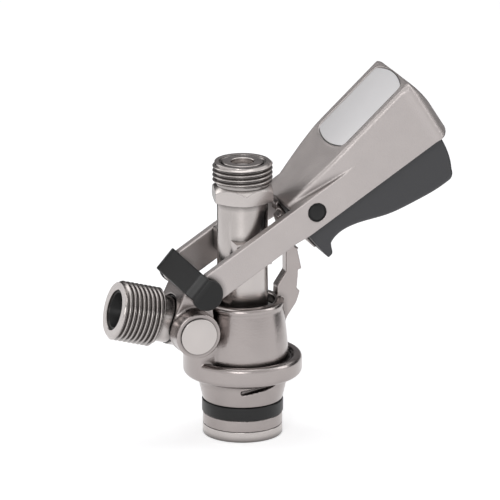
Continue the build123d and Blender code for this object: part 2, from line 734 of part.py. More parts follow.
# ================================================================ lever
with BuildPart() as lever_casting:
    # Hood: the side outline cut to the flaring outline seen from above.
    with BuildSketch(lever_plane()):
        with BuildLine():
            Polyline((hood_end, skirt_bottom), (hood_start, skirt_bottom), crown_front, crown_middle, crown_back)
            Spline(
                crown_back,
                (hood_end - 0.8, 10.0),
                (hood_end, skirt_bottom),
            )
        make_face()
    extrude(amount=lever_half_width, both=True)
    with BuildSketch(plan_plane) as hood_plan:
        with BuildLine():
            for side in (-1, 1):
                Spline(
                    (hood_start, side * hood_start_half_width),
                    (hood_start + 12.0, side * (hood_start_half_width + 2.6)),
                    (hood_start + hood_flare_length, side * lever_half_width),
                    tangents=((1, side * 0.1), (1, 0)),
                )
                Line(
                    (hood_start + hood_flare_length, side * lever_half_width),
                    (hood_end - hood_end_bow, side * lever_half_width),
                )
            Line((hood_start, -hood_start_half_width), (hood_start, hood_start_half_width))
            ThreePointArc(
                (hood_end - hood_end_bow, lever_half_width),
                (hood_end, 0),
                (hood_end - hood_end_bow, -lever_half_width),
            )
        make_face()
        fillet(hood_plan.vertices().sort_by(Axis.X)[-2:], hood_corner)
    extrude(amount=crown_back[1] + 5, both=True, mode=Mode.INTERSECT)
    crown_faces = lever_casting.faces().filter_by(lambda face: face.normal_at().dot(plan_plane.z_dir) > 0.9)
    ridge_edges = crown_faces.edges().filter_by(lambda edge: abs(edge.center().Y) > 0.5)
    fillet(ridge_edges, ridge_radius)

    # Arms with round ends, carried on along the hood as its side walls.
    for start in (arm_inner_y, -lever_half_width):
        with BuildSketch(lever_plane(-start)):
            with BuildLine():
                Polyline(
                    (0, -arm_half_height),
                    (hood_start - 6, -arm_half_height),
                    (hood_start, skirt_bottom),
                    (hood_start + hood_flare_length, skirt_bottom),
                    (hood_start + hood_flare_length, shelf_top),
                    (0, shelf_top),
                )
                ThreePointArc((0, shelf_top), (-arm_half_height, 0), (0, -arm_half_height))
            make_face()
        extrude(amount=lever_half_width - arm_inner_y)

    # Shelf under the narrow front of the hood.
    with BuildSketch(lever_plane()):
        with Locations(((hood_start + crown_middle[0]) / 2, shelf_top - shelf_thickness / 2)):
            Rectangle(crown_middle[0] - hood_start, shelf_thickness)
    extrude(amount=arm_inner_y, both=True)

    # Hollow: a straight channel between the walls and a smaller one up inside the hood.
    with BuildSketch(lever_plane()):
        with BuildLine():
            Polyline(
                (hood_start - 1, skirt_bottom - 4),
                (hood_start - 1, shelf_top - shelf_thickness),
                (hood_start + shelf_length, shelf_top - shelf_thickness),
                (crown_middle[0] + 2, crown_middle[1] - wall),
                (crown_back[0] - end_wall, crown_back[1] - wall),
                (hood_end - end_wall, skirt_bottom - 4),
                (hood_start - 1, skirt_bottom - 4),
            )
        make_face()
    extrude(amount=arm_inner_y, both=True, mode=Mode.SUBTRACT)
    with BuildSketch(lever_plane()):
        with BuildLine():
            Polyline(
                (hood_start + 4, shelf_top - shelf_thickness - 1),
                (hood_start + 4, shelf_top - shelf_thickness + 0.4),
                (crown_middle[0] + 1, crown_middle[1] - wall),
                (crown_middle[0] + 1, shelf_top - shelf_thickness - 1),
                (hood_start + 4, shelf_top - shelf_thickness - 1),
            )
        make_face()
    extrude(amount=hood_start_half_width - wall, both=True, mode=Mode.SUBTRACT)

    # The arms end in a flat under the hinge cover; holes for the hinge, drive and trigger pins.
    with BuildSketch(cover_plane):
        with Locations((cover_band_inner - 0.1, 0)):
            Rectangle(4 * arm_half_height, 4 * arm_half_height, align=(Align.MIN, Align.CENTER))
    extrude(amount=lever_half_width + 1, both=True, mode=Mode.SUBTRACT)
    with BuildSketch(lever_plane()):
        Circle(hinge_pin_radius + running_fit)
        with Locations(trigger_pivot):
            Circle(trigger_pin_radius + static_fit)
    extrude(amount=lever_half_width + 1, both=True, mode=Mode.SUBTRACT)
    with BuildSketch(lever_plane()):
        with Locations((drive_pin_reach, 0)):
            Circle(drive_pin_radius + static_fit)
    extrude(amount=drive_pin_outer_y, both=True, mode=Mode.SUBTRACT)
    for start in (trigger_pin_half_length, -lever_half_width):
        with BuildSketch(lever_plane(-start)):
            with Locations(trigger_pivot):
                Circle(cap_radius + static_fit)
        extrude(amount=lever_half_width - trigger_pin_half_length, mode=Mode.SUBTRACT)

    # Recess for the label plate.
    with BuildSketch(crown_plane):
        add(label_outline(label_gap))
    extrude(amount=-label_recess, mode=Mode.SUBTRACT)
save(lever_casting, "lever_casting")

with BuildPart() as label_plate:
    with BuildSketch(crown_plane.offset(-label_recess)):
        add(label_outline(0.0))
    extrude(amount=label_thickness)
save(label_plate, "label_plate")

with BuildPart() as drive_pins:
    for start in (drive_pin_inner_y, -drive_pin_outer_y):
        with BuildSketch(lever_plane(-start)):
            with Locations((drive_pin_reach, 0)):
                Circle(drive_pin_radius)
        extrude(amount=drive_pin_outer_y - drive_pin_inner_y)
save(drive_pins, "drive_pins")

# Hinge cover: a clip with two round cheeks over the pin's ends, joined by a band behind the post.
with BuildPart() as hinge_cover:
    for start in (lever_half_width + running_fit, -cover_outer_y):
        with BuildSketch(cover_plane.offset(start)):
            Circle(cover_radius)
            Rectangle(cover_band_outer, 2 * cover_half_height, align=(Align.MIN, Align.CENTER))
            with Locations((cover_band_outer, 0)):
                Rectangle(cover_radius, 3 * cover_radius, align=(Align.MIN, Align.CENTER), mode=Mode.SUBTRACT)
        extrude(amount=cover_outer_y - lever_half_width - running_fit)
    with BuildSketch(cover_plane):
        with Locations((cover_band_inner, 0)):
            Rectangle(
                cover_band_outer - cover_band_inner,
                2 * cover_half_height,
                align=(Align.MIN, Align.CENTER),
            )
    extrude(amount=cover_outer_y, both=True)
    cheek_rims = hinge_cover.faces().filter_by(Axis.Y).group_by(Axis.Y)
    fillet(cheek_rims[0].edges() + cheek_rims[-1].edges(), cover_edge_radius)
save(hinge_cover, "hinge_cover")

with BuildPart() as trigger_pin:
    with BuildSketch(lever_plane()):
        with Locations(trigger_pivot):
            Circle(trigger_pin_radius)
    extrude(amount=trigger_pin_half_length, both=True)
save(trigger_pin, "trigger_pin")

with BuildPart() as pin_caps:
    for start in (trigger_pin_half_length, -lever_half_width):
        with BuildSketch(lever_plane(-start)):
            with Locations(trigger_pivot):
                Circle(cap_radius)
        extrude(amount=lever_half_width - trigger_pin_half_length)
save(pin_caps, "pin_caps")

# Torsion spring on the trigger pin: a coil with a leg under the shelf and one on the trigger.
coil_height = spring_turns * spring_pitch
coil_plane = Plane(
    origin=lever_point(*trigger_pivot, coil_height / 2),
    x_dir=lever_direction(0, 1),
    z_dir=(0, -1, 0),
)
coil = coil_plane * Helix(spring_pitch, coil_height, spring_coil_radius)
with BuildPart() as trigger_spring:
    with BuildSketch(Plane(origin=coil @ 0, z_dir=coil % 0)):
        Circle(spring_wire_radius)
    sweep(path=coil)
    for leg_start in (coil @ 0, coil @ 1):
        with BuildSketch(Plane(origin=leg_start, z_dir=lever_direction(1, 0))):
            Circle(spring_wire_radius)
        extrude(amount=spring_leg)
save(trigger_spring, "trigger_spring")

# ================================================================ trigger
boss_half_width = trigger_boss_radius * cos(radians(40.0))
boss_shoulder = trigger_pivot[1] + trigger_boss_radius * sin(radians(40.0))
boss_back = (trigger_pivot[0] + boss_half_width, boss_shoulder)
boss_front = (trigger_pivot[0] - boss_half_width, boss_shoulder)

with BuildPart() as trigger_grip:
    with BuildSketch(lever_plane()):
        with BuildLine():
            Polyline(
                trigger_front_middle,
                trigger_hook,
                grip_point(hook_heel),
                grip_point(hook_root),
            )
            Spline(grip_point(hook_root), *[grip_point(place) for place in palm_line])
            ThreePointArc(grip_point(palm_line[-1]), grip_point(heel_round[0]), grip_point(heel_round[1]))
            Spline(grip_point(heel_round[1]), *[grip_point(place) for place in heel_line])
            Polyline(
                grip_point(heel_line[-1]),
                (trigger_back - heel_chamfer, trigger_top),
                (trigger_pivot[0] + trigger_shoulder, trigger_top),
                boss_back,
            )
            ThreePointArc(boss_back, (trigger_pivot[0], trigger_pivot[1] + trigger_boss_radius), boss_front)
            Polyline(boss_front, grip_point(trigger_lead), trigger_front_top, trigger_front_middle)
        make_face()
    extrude(amount=trigger_half_width, both=True)
    side_edges = trigger_grip.faces().filter_by(Axis.Y).edges()
    grip_edges = side_edges.filter_by(
        lambda edge: lever_plane().to_local_coords(edge.center()).Y < skirt_bottom
        and lever_plane().to_local_coords(edge.center()).X > hood_start + hook_root[0]
    )
    fillet(grip_edges, trigger_edge_radius)

    # Slot for the torsion spring, then the pivot hole.
    with BuildSketch(lever_plane()):
        with Locations(trigger_pivot):
            Rectangle(2 * spring_slot_reach, 2 * spring_slot_half_height)
    extrude(amount=spring_slot_half_width, both=True, mode=Mode.SUBTRACT)
    with BuildSketch(lever_plane()):
        with Locations(trigger_pivot):
            Circle(trigger_pin_radius + running_fit)
    extrude(amount=trigger_half_width + 1, both=True, mode=Mode.SUBTRACT)
save(trigger_grip, "trigger_grip")

# Pawl: a steel strip on the trigger's front face with a tooth for the rack's notches.
with BuildPart() as pawl_plate:
    with BuildSketch(lever_plane()):
        with BuildLine():
            Polyline(
                trigger_front_top,
                trigger_front_middle,
                pawl_foot,
                (pawl_foot[0] - pawl_thickness, pawl_foot[1]),
                (pawl_tip[0] + pawl_lip[0], pawl_tip[1] + pawl_lip[1]),
                pawl_tip,
                (pawl_tip[0] + pawl_rise, pawl_tip[1] + pawl_rise),
                (trigger_front_top[0] - pawl_thickness + 0.2, trigger_front_top[1]),
                trigger_front_top,
            )
        make_face()
    extrude(amount=pawl_half_width, both=True)
save(pawl_plate, "pawl_plate")
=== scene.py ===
# %% [markdown]
# # A keg coupler
# A keg coupler locks onto a keg: its neck turns into the keg valve, and a long lever drives a
# tube down through the body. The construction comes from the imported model, where every piece
# is already in place. Here each piece gets its finish, its soft edges and its threads.

# %% The frame
import json
import math

import bmesh
import bpy
from mathutils import Matrix, Vector


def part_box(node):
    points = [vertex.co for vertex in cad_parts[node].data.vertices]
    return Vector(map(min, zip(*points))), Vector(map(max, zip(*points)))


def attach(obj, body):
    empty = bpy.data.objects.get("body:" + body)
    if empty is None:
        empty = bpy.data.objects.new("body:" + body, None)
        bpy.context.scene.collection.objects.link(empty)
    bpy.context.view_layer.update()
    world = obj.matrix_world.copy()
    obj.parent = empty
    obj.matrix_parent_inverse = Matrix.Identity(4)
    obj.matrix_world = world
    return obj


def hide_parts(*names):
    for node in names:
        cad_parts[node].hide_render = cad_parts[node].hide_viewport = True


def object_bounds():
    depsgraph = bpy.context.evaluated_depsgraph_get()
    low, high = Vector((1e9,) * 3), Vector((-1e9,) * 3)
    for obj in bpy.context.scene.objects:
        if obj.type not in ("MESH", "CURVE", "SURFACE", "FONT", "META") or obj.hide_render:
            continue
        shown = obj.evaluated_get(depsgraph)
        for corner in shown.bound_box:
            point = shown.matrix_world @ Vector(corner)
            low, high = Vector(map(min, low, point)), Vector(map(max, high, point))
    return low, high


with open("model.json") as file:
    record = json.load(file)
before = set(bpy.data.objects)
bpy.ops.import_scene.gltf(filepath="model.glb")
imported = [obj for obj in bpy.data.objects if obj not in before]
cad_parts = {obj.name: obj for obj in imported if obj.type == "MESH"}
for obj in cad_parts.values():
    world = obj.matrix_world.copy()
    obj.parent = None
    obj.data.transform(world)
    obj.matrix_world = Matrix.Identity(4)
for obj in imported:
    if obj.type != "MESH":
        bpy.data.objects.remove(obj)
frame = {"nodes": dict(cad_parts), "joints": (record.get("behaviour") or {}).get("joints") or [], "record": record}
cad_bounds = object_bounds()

MM = 0.001
print("nodes:", len(frame["nodes"]))

# %% [markdown]
# ## Camera, floor and light
# A product picture of a tall piece is taken from far away with a long lens, a little above the
# piece and from its left, so that upright edges stay upright. A short lens would make the top
# look larger than the foot. The lens follows from the width of the view and the distance.

# %% Camera
CAMERA_AZIMUTH = -19.0
CAMERA_ELEVATION = 17.2
CAMERA_DISTANCE = 3.0
VIEW_WIDTH = 0.1897
TARGET = Vector((0.003, 0.0, 0.0718))

azimuth = math.radians(CAMERA_AZIMUTH)
elevation = math.radians(CAMERA_ELEVATION)
towards_camera = Vector((
    math.sin(azimuth) * math.cos(elevation),
    -math.cos(azimuth) * math.cos(elevation),
    math.sin(elevation),
))
camera_data = bpy.data.cameras.new("camera")
camera_data.sensor_width = 36.0
camera_data.lens = camera_data.sensor_width * CAMERA_DISTANCE / VIEW_WIDTH
camera = bpy.data.objects.new("camera", camera_data)
bpy.context.scene.collection.objects.link(camera)
camera.location = TARGET + towards_camera * CAMERA_DISTANCE
camera.rotation_euler = (-towards_camera).to_track_quat("-Z", "Y").to_euler()
bpy.context.scene.camera = camera
bpy.context.scene.view_settings.view_transform = "Standard"
print("lens", round(camera_data.lens), "mm")


# %% Lamps
def lamp(name, place, size, power):
    """A soft square lamp that points at the piece."""
    data = bpy.data.lights.new(name, "AREA")
    data.shape = "RECTANGLE"
    data.size, data.size_y = size
    data.energy = power
    lamp_object = bpy.data.objects.new(name, data)
    bpy.context.scene.collection.objects.link(lamp_object)
    lamp_object.location = place
    direction = TARGET - Vector(place)
    lamp_object.rotation_euler = direction.to_track_quat("-Z", "Y").to_euler()


lamp("key", (-0.40, -0.80, 0.55), (0.45, 0.5), 2.6)
lamp("side", (0.75, -0.25, 0.45), (0.3, 0.6), 1.1)
lamp("top", (0.05, 0.15, 0.95), (0.6, 0.6), 1.6)
lamp("back", (-0.55, 0.6, 0.5), (0.3, 0.5), 0.8)

# %% [markdown]
# ### A white room
# The world is plain white to the camera and in reflections, and a softer grey as light, so the
# background stays white while the lamps model the forms. The floor is lifted to white for the
# same rays, and only the piece's shadow darkens it.

# %% World
SOFT_LIGHT = 0.5


def seen_rays(nodes, links):
    """1 for the rays of camera, mirrors and glass, and 0 for those that carry light."""
    rays = nodes.new("ShaderNodeLightPath")
    seen = rays.outputs["Is Camera Ray"]
    for kind in ("Is Glossy Ray", "Is Transmission Ray"):
        either = nodes.new("ShaderNodeMath")
        either.operation = "MAXIMUM"
        links.new(seen, either.inputs[0])
        links.new(rays.outputs[kind], either.inputs[1])
        seen = either.outputs[0]
    return seen


world = bpy.data.worlds.new("studio")
bpy.context.scene.world = world
world.use_nodes = True
world_nodes, world_links = world.node_tree.nodes, world.node_tree.links
soft_light = world_nodes["Background"]
soft_light.inputs["Color"].default_value = (0.80, 0.80, 0.82, 1.0)
soft_light.inputs["Strength"].default_value = SOFT_LIGHT
white = world_nodes.new("ShaderNodeBackground")
white.inputs["Color"].default_value = (1.0, 1.0, 1.0, 1.0)
choice = world_nodes.new("ShaderNodeMixShader")
world_links.new(seen_rays(world_nodes, world_links), choice.inputs[0])
world_links.new(soft_light.outputs[0], choice.inputs[1])
world_links.new(white.outputs[0], choice.inputs[2])
world_links.new(choice.outputs[0], world_nodes["World Output"].inputs[0])
print("world: white to look at, grey as light")


# %% Paint and sheets of the stage
def matt_paint(name, colour):
    """A matt paint for the floor and the cards."""
    made = bpy.data.materials.new(name)
    made.use_nodes = True
    shader = made.node_tree.nodes["Principled BSDF"]
    shader.inputs["Base Color"].default_value = (*colour, 1.0)
    shader.inputs["Roughness"].default_value = 0.9
    shader.inputs["Specular IOR Level"].default_value = 0.2
    return made


def stage_plane(name, corners, paint):
    """A flat staged sheet from its four corners."""
    mesh = bpy.data.meshes.new(name)
    mesh.from_pydata(corners, [], [(0, 1, 2, 3)])
    mesh.materials.append(paint)
    sheet = bpy.data.objects.new(name, mesh)
    bpy.context.scene.collection.objects.link(sheet)
    return sheet


# %% Floor
FLOOR_REACH = 6.0
FLOOR_LIFT = 0.45

floor_paint = matt_paint("floor", (0.95, 0.95, 0.95))
floor_corners = [(x * FLOOR_REACH, y * FLOOR_REACH, 0) for x, y in ((-1, -1), (1, -1), (1, 1), (-1, 1))]
floor = stage_plane("floor", floor_corners, floor_paint)
floor_nodes, floor_links = floor_paint.node_tree.nodes, floor_paint.node_tree.links
floor_shader = floor_nodes["Principled BSDF"]
floor_shader.inputs["Emission Color"].default_value = (1.0, 1.0, 1.0, 1.0)
floor_lift = floor_nodes.new("ShaderNodeMath")
floor_lift.operation = "MULTIPLY"
floor_lift.inputs[1].default_value = FLOOR_LIFT
floor_links.new(seen_rays(floor_nodes, floor_links), floor_lift.inputs[0])
floor_links.new(floor_lift.outputs[0], floor_shader.inputs["Emission Strength"])
print("floor:", 2 * FLOOR_REACH, "m wide")

# %% [markdown]
# ### Cards for the metal to mirror
# Polished metal shows only what stands round it, and in a white room it looks like paper. A
# studio puts dark cards beside the piece for that reason. The cards here show in
# reflections alone. A low one on each side darkens the edges of the round pieces, one high in
# front draws a dark line along each rounded lip, and the large grey one behind tones down every
# face that looks up.

# %% Cards
black = matt_paint("black_card", (0.03, 0.028, 0.028))
grey = matt_paint("grey_card", (0.30, 0.29, 0.29))


def reflection_card(name, from_camera, distance, width, height, paint, foot=MM):
    """An upright card at an angle round the piece from the camera's side."""
    angle = azimuth - math.pi / 2 + math.radians(from_camera)
    middle = Vector((math.cos(angle), math.sin(angle), 0.0)) * distance
    across = Vector((-math.sin(angle), math.cos(angle), 0.0)) * (width / 2)
    low = Vector((0.0, 0.0, foot))
    up = Vector((0.0, 0.0, height))
    low_left, low_right = middle - across + low, middle + across + low
    corners = [tuple(corner) for corner in (low_left, low_right, middle + across + up, middle - across + up)]
    card = stage_plane(name, corners, paint)
    card.visible_camera = False
    card.visible_diffuse = False
    card.visible_shadow = False
    card.visible_transmission = False


reflection_card("card_right", 112.0, distance=0.26, width=0.16, height=0.16, paint=black)
reflection_card("card_left", -150.0, distance=0.26, width=0.10, height=0.16, paint=black)
reflection_card("card_behind", 180.0, distance=0.95, width=2.2, height=0.95, paint=grey)
reflection_card("card_front", 0.0, distance=0.50, width=1.2, height=0.40, paint=black, foot=0.50)
print("cards stand on four sides")

# %% [markdown]
# ## Finishes
# Cast steel is satin with a slight ripple, turned steel is smoother, and the lever's alloy is
# blasted with fine beads. All three are metals whose colour is that of the metal itself, so the
# difference lies in roughness and in the height of the grain. The plastics and the rubber have a
# moulded grain. Each finish also has painted shade: its colour darkens where nearby faces close
# it in, in corners, thread roots and bores. Every pattern follows the object's own
# coordinates, so it moves with its piece.


# %% Finish maker
PAINTED_SHADE_REACH = 2.5 * MM
PAINTED_SHADE_POWER = 1.5
PAINTED_SHADE_SAMPLES = 8
GRAIN_HEIGHT = 0.1 * MM
PATCHES_PER_METRE = 130.0


def finish(name, colour, metallic, roughness, grain, grain_size, spread, tint):
    """A finish with a fine grain in its height, slow patches in its gloss and tone, and painted shade in its
    hollows.
    """
    made = bpy.data.materials.new(name)
    made.use_nodes = True
    nodes, links = made.node_tree.nodes, made.node_tree.links
    shader = nodes["Principled BSDF"]
    shader.inputs["Metallic"].default_value = metallic
    place = nodes.new("ShaderNodeTexCoord")
    fine = nodes.new("ShaderNodeTexNoise")
    fine.inputs["Scale"].default_value = 1.0 / (grain_size * MM)
    fine.inputs["Detail"].default_value = 4.0
    links.new(place.outputs["Object"], fine.inputs["Vector"])
    bump = nodes.new("ShaderNodeBump")
    bump.inputs["Strength"].default_value = grain
    bump.inputs["Distance"].default_value = GRAIN_HEIGHT
    links.new(fine.outputs["Fac"], bump.inputs["Height"])
    links.new(bump.outputs["Normal"], shader.inputs["Normal"])
    slow = nodes.new("ShaderNodeTexNoise")
    slow.inputs["Scale"].default_value = PATCHES_PER_METRE
    slow.inputs["Detail"].default_value = 6.0
    links.new(place.outputs["Object"], slow.inputs["Vector"])
    gloss = nodes.new("ShaderNodeMapRange")
    gloss.inputs["To Min"].default_value = roughness - spread
    gloss.inputs["To Max"].default_value = roughness + spread
    links.new(slow.outputs["Fac"], gloss.inputs["Value"])
    links.new(gloss.outputs["Result"], shader.inputs["Roughness"])
    tone = nodes.new("ShaderNodeMix")
    tone.data_type = "RGBA"
    tone.inputs["A"].default_value = (*[part * (1.0 - tint) for part in colour], 1.0)
    tone.inputs["B"].default_value = (*[part * (1.0 + tint) for part in colour], 1.0)
    links.new(slow.outputs["Fac"], tone.inputs["Factor"])
    # Painted shade: an ambient occlusion term darkens the colour in corners, creases, thread roots and bores.
    corner = nodes.new("ShaderNodeAmbientOcclusion")
    corner.samples = PAINTED_SHADE_SAMPLES
    corner.inputs["Distance"].default_value = PAINTED_SHADE_REACH
    depth = nodes.new("ShaderNodeMath")
    depth.operation = "POWER"
    depth.inputs[1].default_value = PAINTED_SHADE_POWER
    links.new(corner.outputs["AO"], depth.inputs[0])
    painted_shade_mix = nodes.new("ShaderNodeMix")
    painted_shade_mix.data_type = "RGBA"
    painted_shade_mix.blend_type = "MULTIPLY"
    painted_shade_mix.inputs["Factor"].default_value = 1.0
    links.new(tone.outputs["Result"], painted_shade_mix.inputs["A"])
    links.new(depth.outputs[0], painted_shade_mix.inputs["B"])
    links.new(painted_shade_mix.outputs["Result"], shader.inputs["Base Color"])
    return made


# %% Finishes of the piece
DARK_GLOSS = 0.3
FINISHES = {
    "cast_steel": finish(
        "cast_steel", (0.36, 0.325, 0.315), metallic=1.0, roughness=0.24,
        grain=0.30, grain_size=0.7, spread=0.05, tint=0.10,
    ),
    "turned_steel": finish(
        "turned_steel", (0.50, 0.465, 0.45), metallic=1.0, roughness=0.24,
        grain=0.12, grain_size=0.4, spread=0.04, tint=0.08,
    ),
    "blasted_alloy": finish(
        "blasted_alloy", (0.44, 0.405, 0.395), metallic=1.0, roughness=0.42,
        grain=0.90, grain_size=0.45, spread=0.04, tint=0.06,
    ),
    "black_plastic": finish(
        "black_plastic", (0.010, 0.010, 0.010), metallic=0.0, roughness=0.36,
        grain=0.25, grain_size=0.4, spread=0.05, tint=0.10,
    ),
    "grey_plastic": finish(
        "grey_plastic", (0.042, 0.042, 0.045), metallic=0.0, roughness=0.50,
        grain=0.35, grain_size=0.4, spread=0.05, tint=0.06,
    ),
    "white_plastic": finish(
        "white_plastic", (0.72, 0.72, 0.70), metallic=0.0, roughness=0.40,
        grain=0.10, grain_size=0.5, spread=0.03, tint=0.02,
    ),
    "rubber": finish(
        "rubber", (0.018, 0.018, 0.018), metallic=0.0, roughness=0.38,
        grain=0.20, grain_size=0.5, spread=0.05, tint=0.10,
    ),
    "label_plate": finish(
        "label_plate", (0.83, 0.815, 0.815), metallic=0.0, roughness=0.30,
        grain=0.05, grain_size=0.8, spread=0.03, tint=0.02,
    ),
}
for dark in ("black_plastic", "rubber"):
    dark_shader = FINISHES[dark].node_tree.nodes["Principled BSDF"]
    dark_shader.inputs["Specular IOR Level"].default_value = DARK_GLOSS
print("finishes:", sorted(FINISHES))

# %% [markdown]
# The record says which finish each node has and which body carries it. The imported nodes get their
# finishes here, and the pieces that take their place later look theirs up in the same tables.

# %% Finish and body of each node
slot_of = {entry["node"]: entry["material_slot"] for entry in frame["record"]["subparts"]}
body_of = {
    node: body for body, members in frame["record"]["behaviour"]["bodies"].items() for node in members
}
for name, node in frame["nodes"].items():
    node.data.materials.clear()
    node.data.materials.append(FINISHES[slot_of[name]])
print("nodes with a finish:", len(slot_of))

# %% [markdown]
# ## Tools for the pieces
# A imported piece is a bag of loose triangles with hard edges. No real edge is that sharp: a cast
# one is rounded by its mould and a turned one is broken with a file. So a visible piece gets a
# joined copy, which is softened in one of two ways. A voxel remesh with some smoothing suits
# castings and mouldings. A narrow bevel suits turned and cut pieces, which keep their flats.
# Where a corner is rounder than that, its points are drawn inwards first.


# %% Joined copy
SAME_POINT = 0.001 * MM


def joined_copy(node, name):
    """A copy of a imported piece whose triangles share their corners."""
    source = frame["nodes"][node].data
    mesh = bpy.data.meshes.new(name)
    points = [vertex.co[:] for vertex in source.vertices]
    mesh.from_pydata(points, [], [tuple(face.vertices) for face in source.polygons])
    form = bmesh.new()
    form.from_mesh(mesh)
    bmesh.ops.remove_doubles(form, verts=form.verts, dist=SAME_POINT)
    form.to_mesh(mesh)
    form.free()
    piece = bpy.data.objects.new(name, mesh)
    bpy.context.scene.collection.objects.link(piece)
    return piece


def settle(piece):
    """Makes the evaluated shape the piece's plain mesh and drops its modifiers."""
    graph = bpy.context.evaluated_depsgraph_get()
    shaped = bpy.data.meshes.new_from_object(piece.evaluated_get(graph))
    piece.modifiers.clear()
    piece.data = shaped


def take_over(piece, node, sharp_angle):
    """Smooth shading up to an angle, then the node's finish and body from the tables, and the node hidden."""
    mesh = piece.data
    mesh.polygons.foreach_set("use_smooth", [True] * len(mesh.polygons))
    mesh.set_sharp_from_angle(angle=math.radians(sharp_angle))
    mesh.materials.clear()
    mesh.materials.append(FINISHES[slot_of[node]])
    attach(piece, body_of[node])
    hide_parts(node)
    print(piece.name, "has", len(mesh.polygons), "faces")


# %% Soft copies
SOFT_SHADING = 60.0


def regrain(piece, voxel):
    """Queues a skin of even small faces."""
    remesh = piece.modifiers.new("remesh", "REMESH")
    remesh.mode = "VOXEL"
    remesh.voxel_size = voxel * MM


def soften(piece, node, voxel, rounds, keep):
    """A cast or moulded piece: every edge rounded by about twice the voxel."""
    regrain(piece, voxel)
    smooth = piece.modifiers.new("smooth", "SMOOTH")
    smooth.factor = 0.5
    smooth.iterations = rounds
    thin = piece.modifiers.new("thin", "DECIMATE")
    thin.ratio = keep
    settle(piece)
    take_over(piece, node, SOFT_SHADING)


def draw_corners(piece, middle, outward, end, half_width, corner, share):
    """Draws the two far corners of a piece inwards, by a share of their reach beyond the rounding."""
    for vertex in piece.data.vertices:
        beyond = (vertex.co - middle).dot(outward) / MM - (end - corner)
        aside = abs(vertex.co.y) / MM - (half_width - corner)
        if beyond > 0 and aside > 0:
            draw = share(beyond, aside) - 1.0
            vertex.co += outward * (beyond * draw * MM)
            vertex.co.y += math.copysign(aside * draw * MM, vertex.co.y)


# %% Bevelled copies
FLAT_ANGLE = math.radians(0.5)
EDGE_ANGLE = math.radians(40.0)
TURNED_SHADING = 32.0


def bevelled_copy(node, name, width):
    """A turned or cut piece: its sharp edges broken by a narrow bevel."""
    piece = joined_copy(node, name)
    form = bmesh.new()
    form.from_mesh(piece.data)
    bmesh.ops.dissolve_limit(
        form, angle_limit=FLAT_ANGLE, verts=form.verts, edges=form.edges, use_dissolve_boundaries=False
    )
    form.to_mesh(piece.data)
    form.free()
    bevel = piece.modifiers.new("bevel", "BEVEL")
    bevel.width = width * MM
    bevel.segments = 2
    bevel.limit_method = "ANGLE"
    bevel.angle_limit = EDGE_ANGLE
    bevel.use_clamp_overlap = True
    settle(piece)
    take_over(piece, node, TURNED_SHADING)


# %% [markdown]
# ## Castings and mouldings
# The body is an investment casting, the lever a die casting and the trigger a moulding. A fine
# voxel keeps the label's recess and the bayonet ramps, and a few rounds of smoothing give the
# rounded edges that catch the light.

# %% Body
soften(joined_copy("body_casting", "body_shell"), "body_casting", voxel=0.34, rounds=5, keep=0.45)

# %% Trigger
pin_clearance = 0.2

trigger_shell = joined_copy("trigger_grip", "trigger_shell")
soften(trigger_shell, "trigger_grip", voxel=0.40, rounds=6, keep=0.40)

# The pin runs in the trigger's hole, so the hole gets its clearance back after the softening.
pin_low, pin_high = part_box("trigger_pin")
pin_middle = (pin_low + pin_high) / 2
hole_radius = (pin_high.x - pin_low.x) / 2 + pin_clearance * MM
for vertex in trigger_shell.data.vertices:
    out = Vector((vertex.co.x - pin_middle.x, vertex.co.z - pin_middle.z))
    if 0 < out.length < hole_radius:
        vertex.co.x = pin_middle.x + out.x * hole_radius / out.length
        vertex.co.z = pin_middle.z + out.y * hole_radius / out.length
print("pin hole radius", round(hole_radius / MM, 2), "mm")

# %% [markdown]
# ### The lever and the rim of its label
# The label lies in a shallow recess inside a raised bead of the casting. The bead is a tube along
# the label's outline, joined to the casting before it is remeshed, so the two melt together. The
# hood's far corners are drawn onto a rounder curve first.

# %% Place of the label
lever_angle = math.radians(32.3)
crown_heights = (13.8, 20.0)
crown_reaches = (29.7, 63.8)
label_half_length = 15.5
label_bow = 2.6
bead_rise = 0.15

crown_rise = math.atan((crown_heights[1] - crown_heights[0]) / (crown_reaches[1] - crown_reaches[0]))
label_slope = lever_angle + crown_rise
label_along = Vector((math.cos(label_slope), 0.0, math.sin(label_slope)))
label_up = Vector((-math.sin(label_slope), 0.0, math.cos(label_slope)))
label_low, label_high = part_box("label_plate")
label_half_width = (label_high.y - label_low.y) / 2 / MM
label_middle = (label_low + label_high) / 2 + label_up * (bead_rise * MM)
print("label slopes", round(math.degrees(label_slope), 1), "degrees")

# %% Outline and bead of the label
CORNER_ROUNDS = 8


def label_outline(margin, steps=24):
    """Points round the label in its own plane: bowed ends, straight sides and eased corners."""
    width, length = label_half_width + margin, label_half_length + margin
    ways = [1.0 - 2.0 * step / steps for step in range(steps + 1)]
    points = []
    for end in (1, -1):
        points += [(end * (length + label_bow * (1.0 - way ** 2)), end * width * way) for way in ways]
        points += [(end * length * way, -end * width) for way in ways[1:-1]]
    for _ in range(CORNER_ROUNDS):
        points = [
            tuple((a + 2 * b + c) / 4 for a, b, c in zip(before, here, after))
            for before, here, after in zip(points[-1:] + points[:-1], points, points[1:] + points[:1])
        ]
    return points


